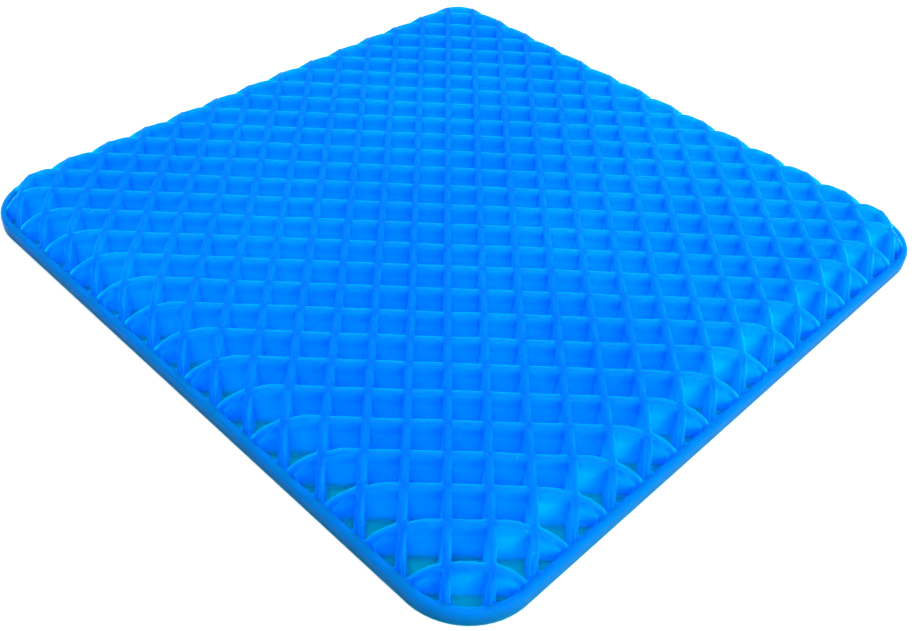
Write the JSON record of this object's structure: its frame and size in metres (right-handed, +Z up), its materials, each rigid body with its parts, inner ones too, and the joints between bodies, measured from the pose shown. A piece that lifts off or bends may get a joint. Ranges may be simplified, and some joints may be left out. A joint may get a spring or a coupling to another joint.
{
  "type": "gel seat cushion",
  "caption": "Square elastic gel seat cushion with open square cells set at 45 degrees, rounded shoulders, a low edge rim and a flat base sheet.",
  "frame": {"origin": "centre of the flat underside", "axes": "+Z up out of the open cells; +X and +Y along two neighbouring sides of the square"},
  "size_m": [0.4, 0.4, 0.025],
  "materials": {
    "gel": "smooth translucent elastomer gel with a soft satin gloss"
  },
  "bodies": {
    "root": {"base_sheet": "gel", "edge_rim": "gel", "cell_walls": "gel"}
  },
  "joints": []
}
